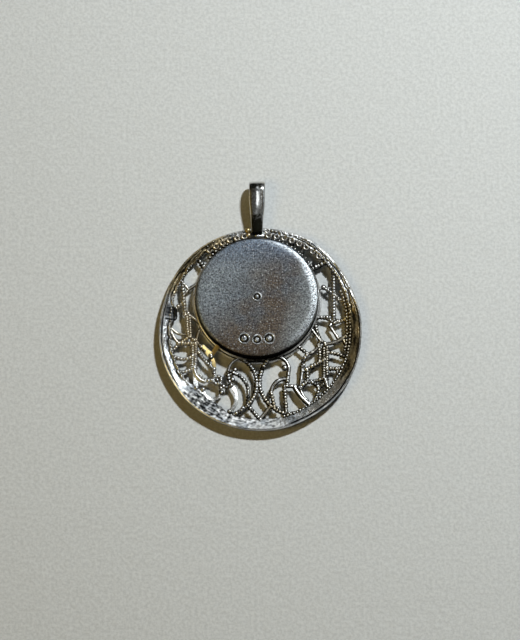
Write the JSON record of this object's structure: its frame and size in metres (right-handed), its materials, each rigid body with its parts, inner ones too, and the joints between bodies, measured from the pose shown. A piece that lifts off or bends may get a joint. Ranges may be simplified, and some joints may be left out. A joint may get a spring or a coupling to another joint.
{
  "type": "round filigree medal pendant",
  "caption": "Round pierced filigree pendant with a closed off-centre medal cup, a gold relief medal in front and a tapered loop swinging at the top.",
  "frame": {"origin": "middle of the pendant's outline, on the surface under its front bezel", "axes": "+Z out of the back face, away from the surface it lies on; +Y from the round frame towards the loop; +X to the right as seen from the back"},
  "size_m": [0.0254, 0.032, 0.0029],
  "materials": {
    "silver_cast": "bright cast silver, hand finished",
    "silver_satin": "fine satin, lightly tarnished",
    "silver_polished": "polished",
    "gold": "soft polish with darker recesses"
  },
  "bodies": {
    "pendant": {"frame": "silver_cast", "medal_cup": "silver_satin", "medal": "gold"},
    "loop": {"bail": "silver_polished"}
  },
  "joints": [
    {"name": "loop_swing", "type": "hinge", "parent": "pendant", "child": "loop", "pos_m": [-0.0004, 0.00967, 0.00143], "axis": [1, 0, 0], "range_deg": [-80, 100]}
  ]
}
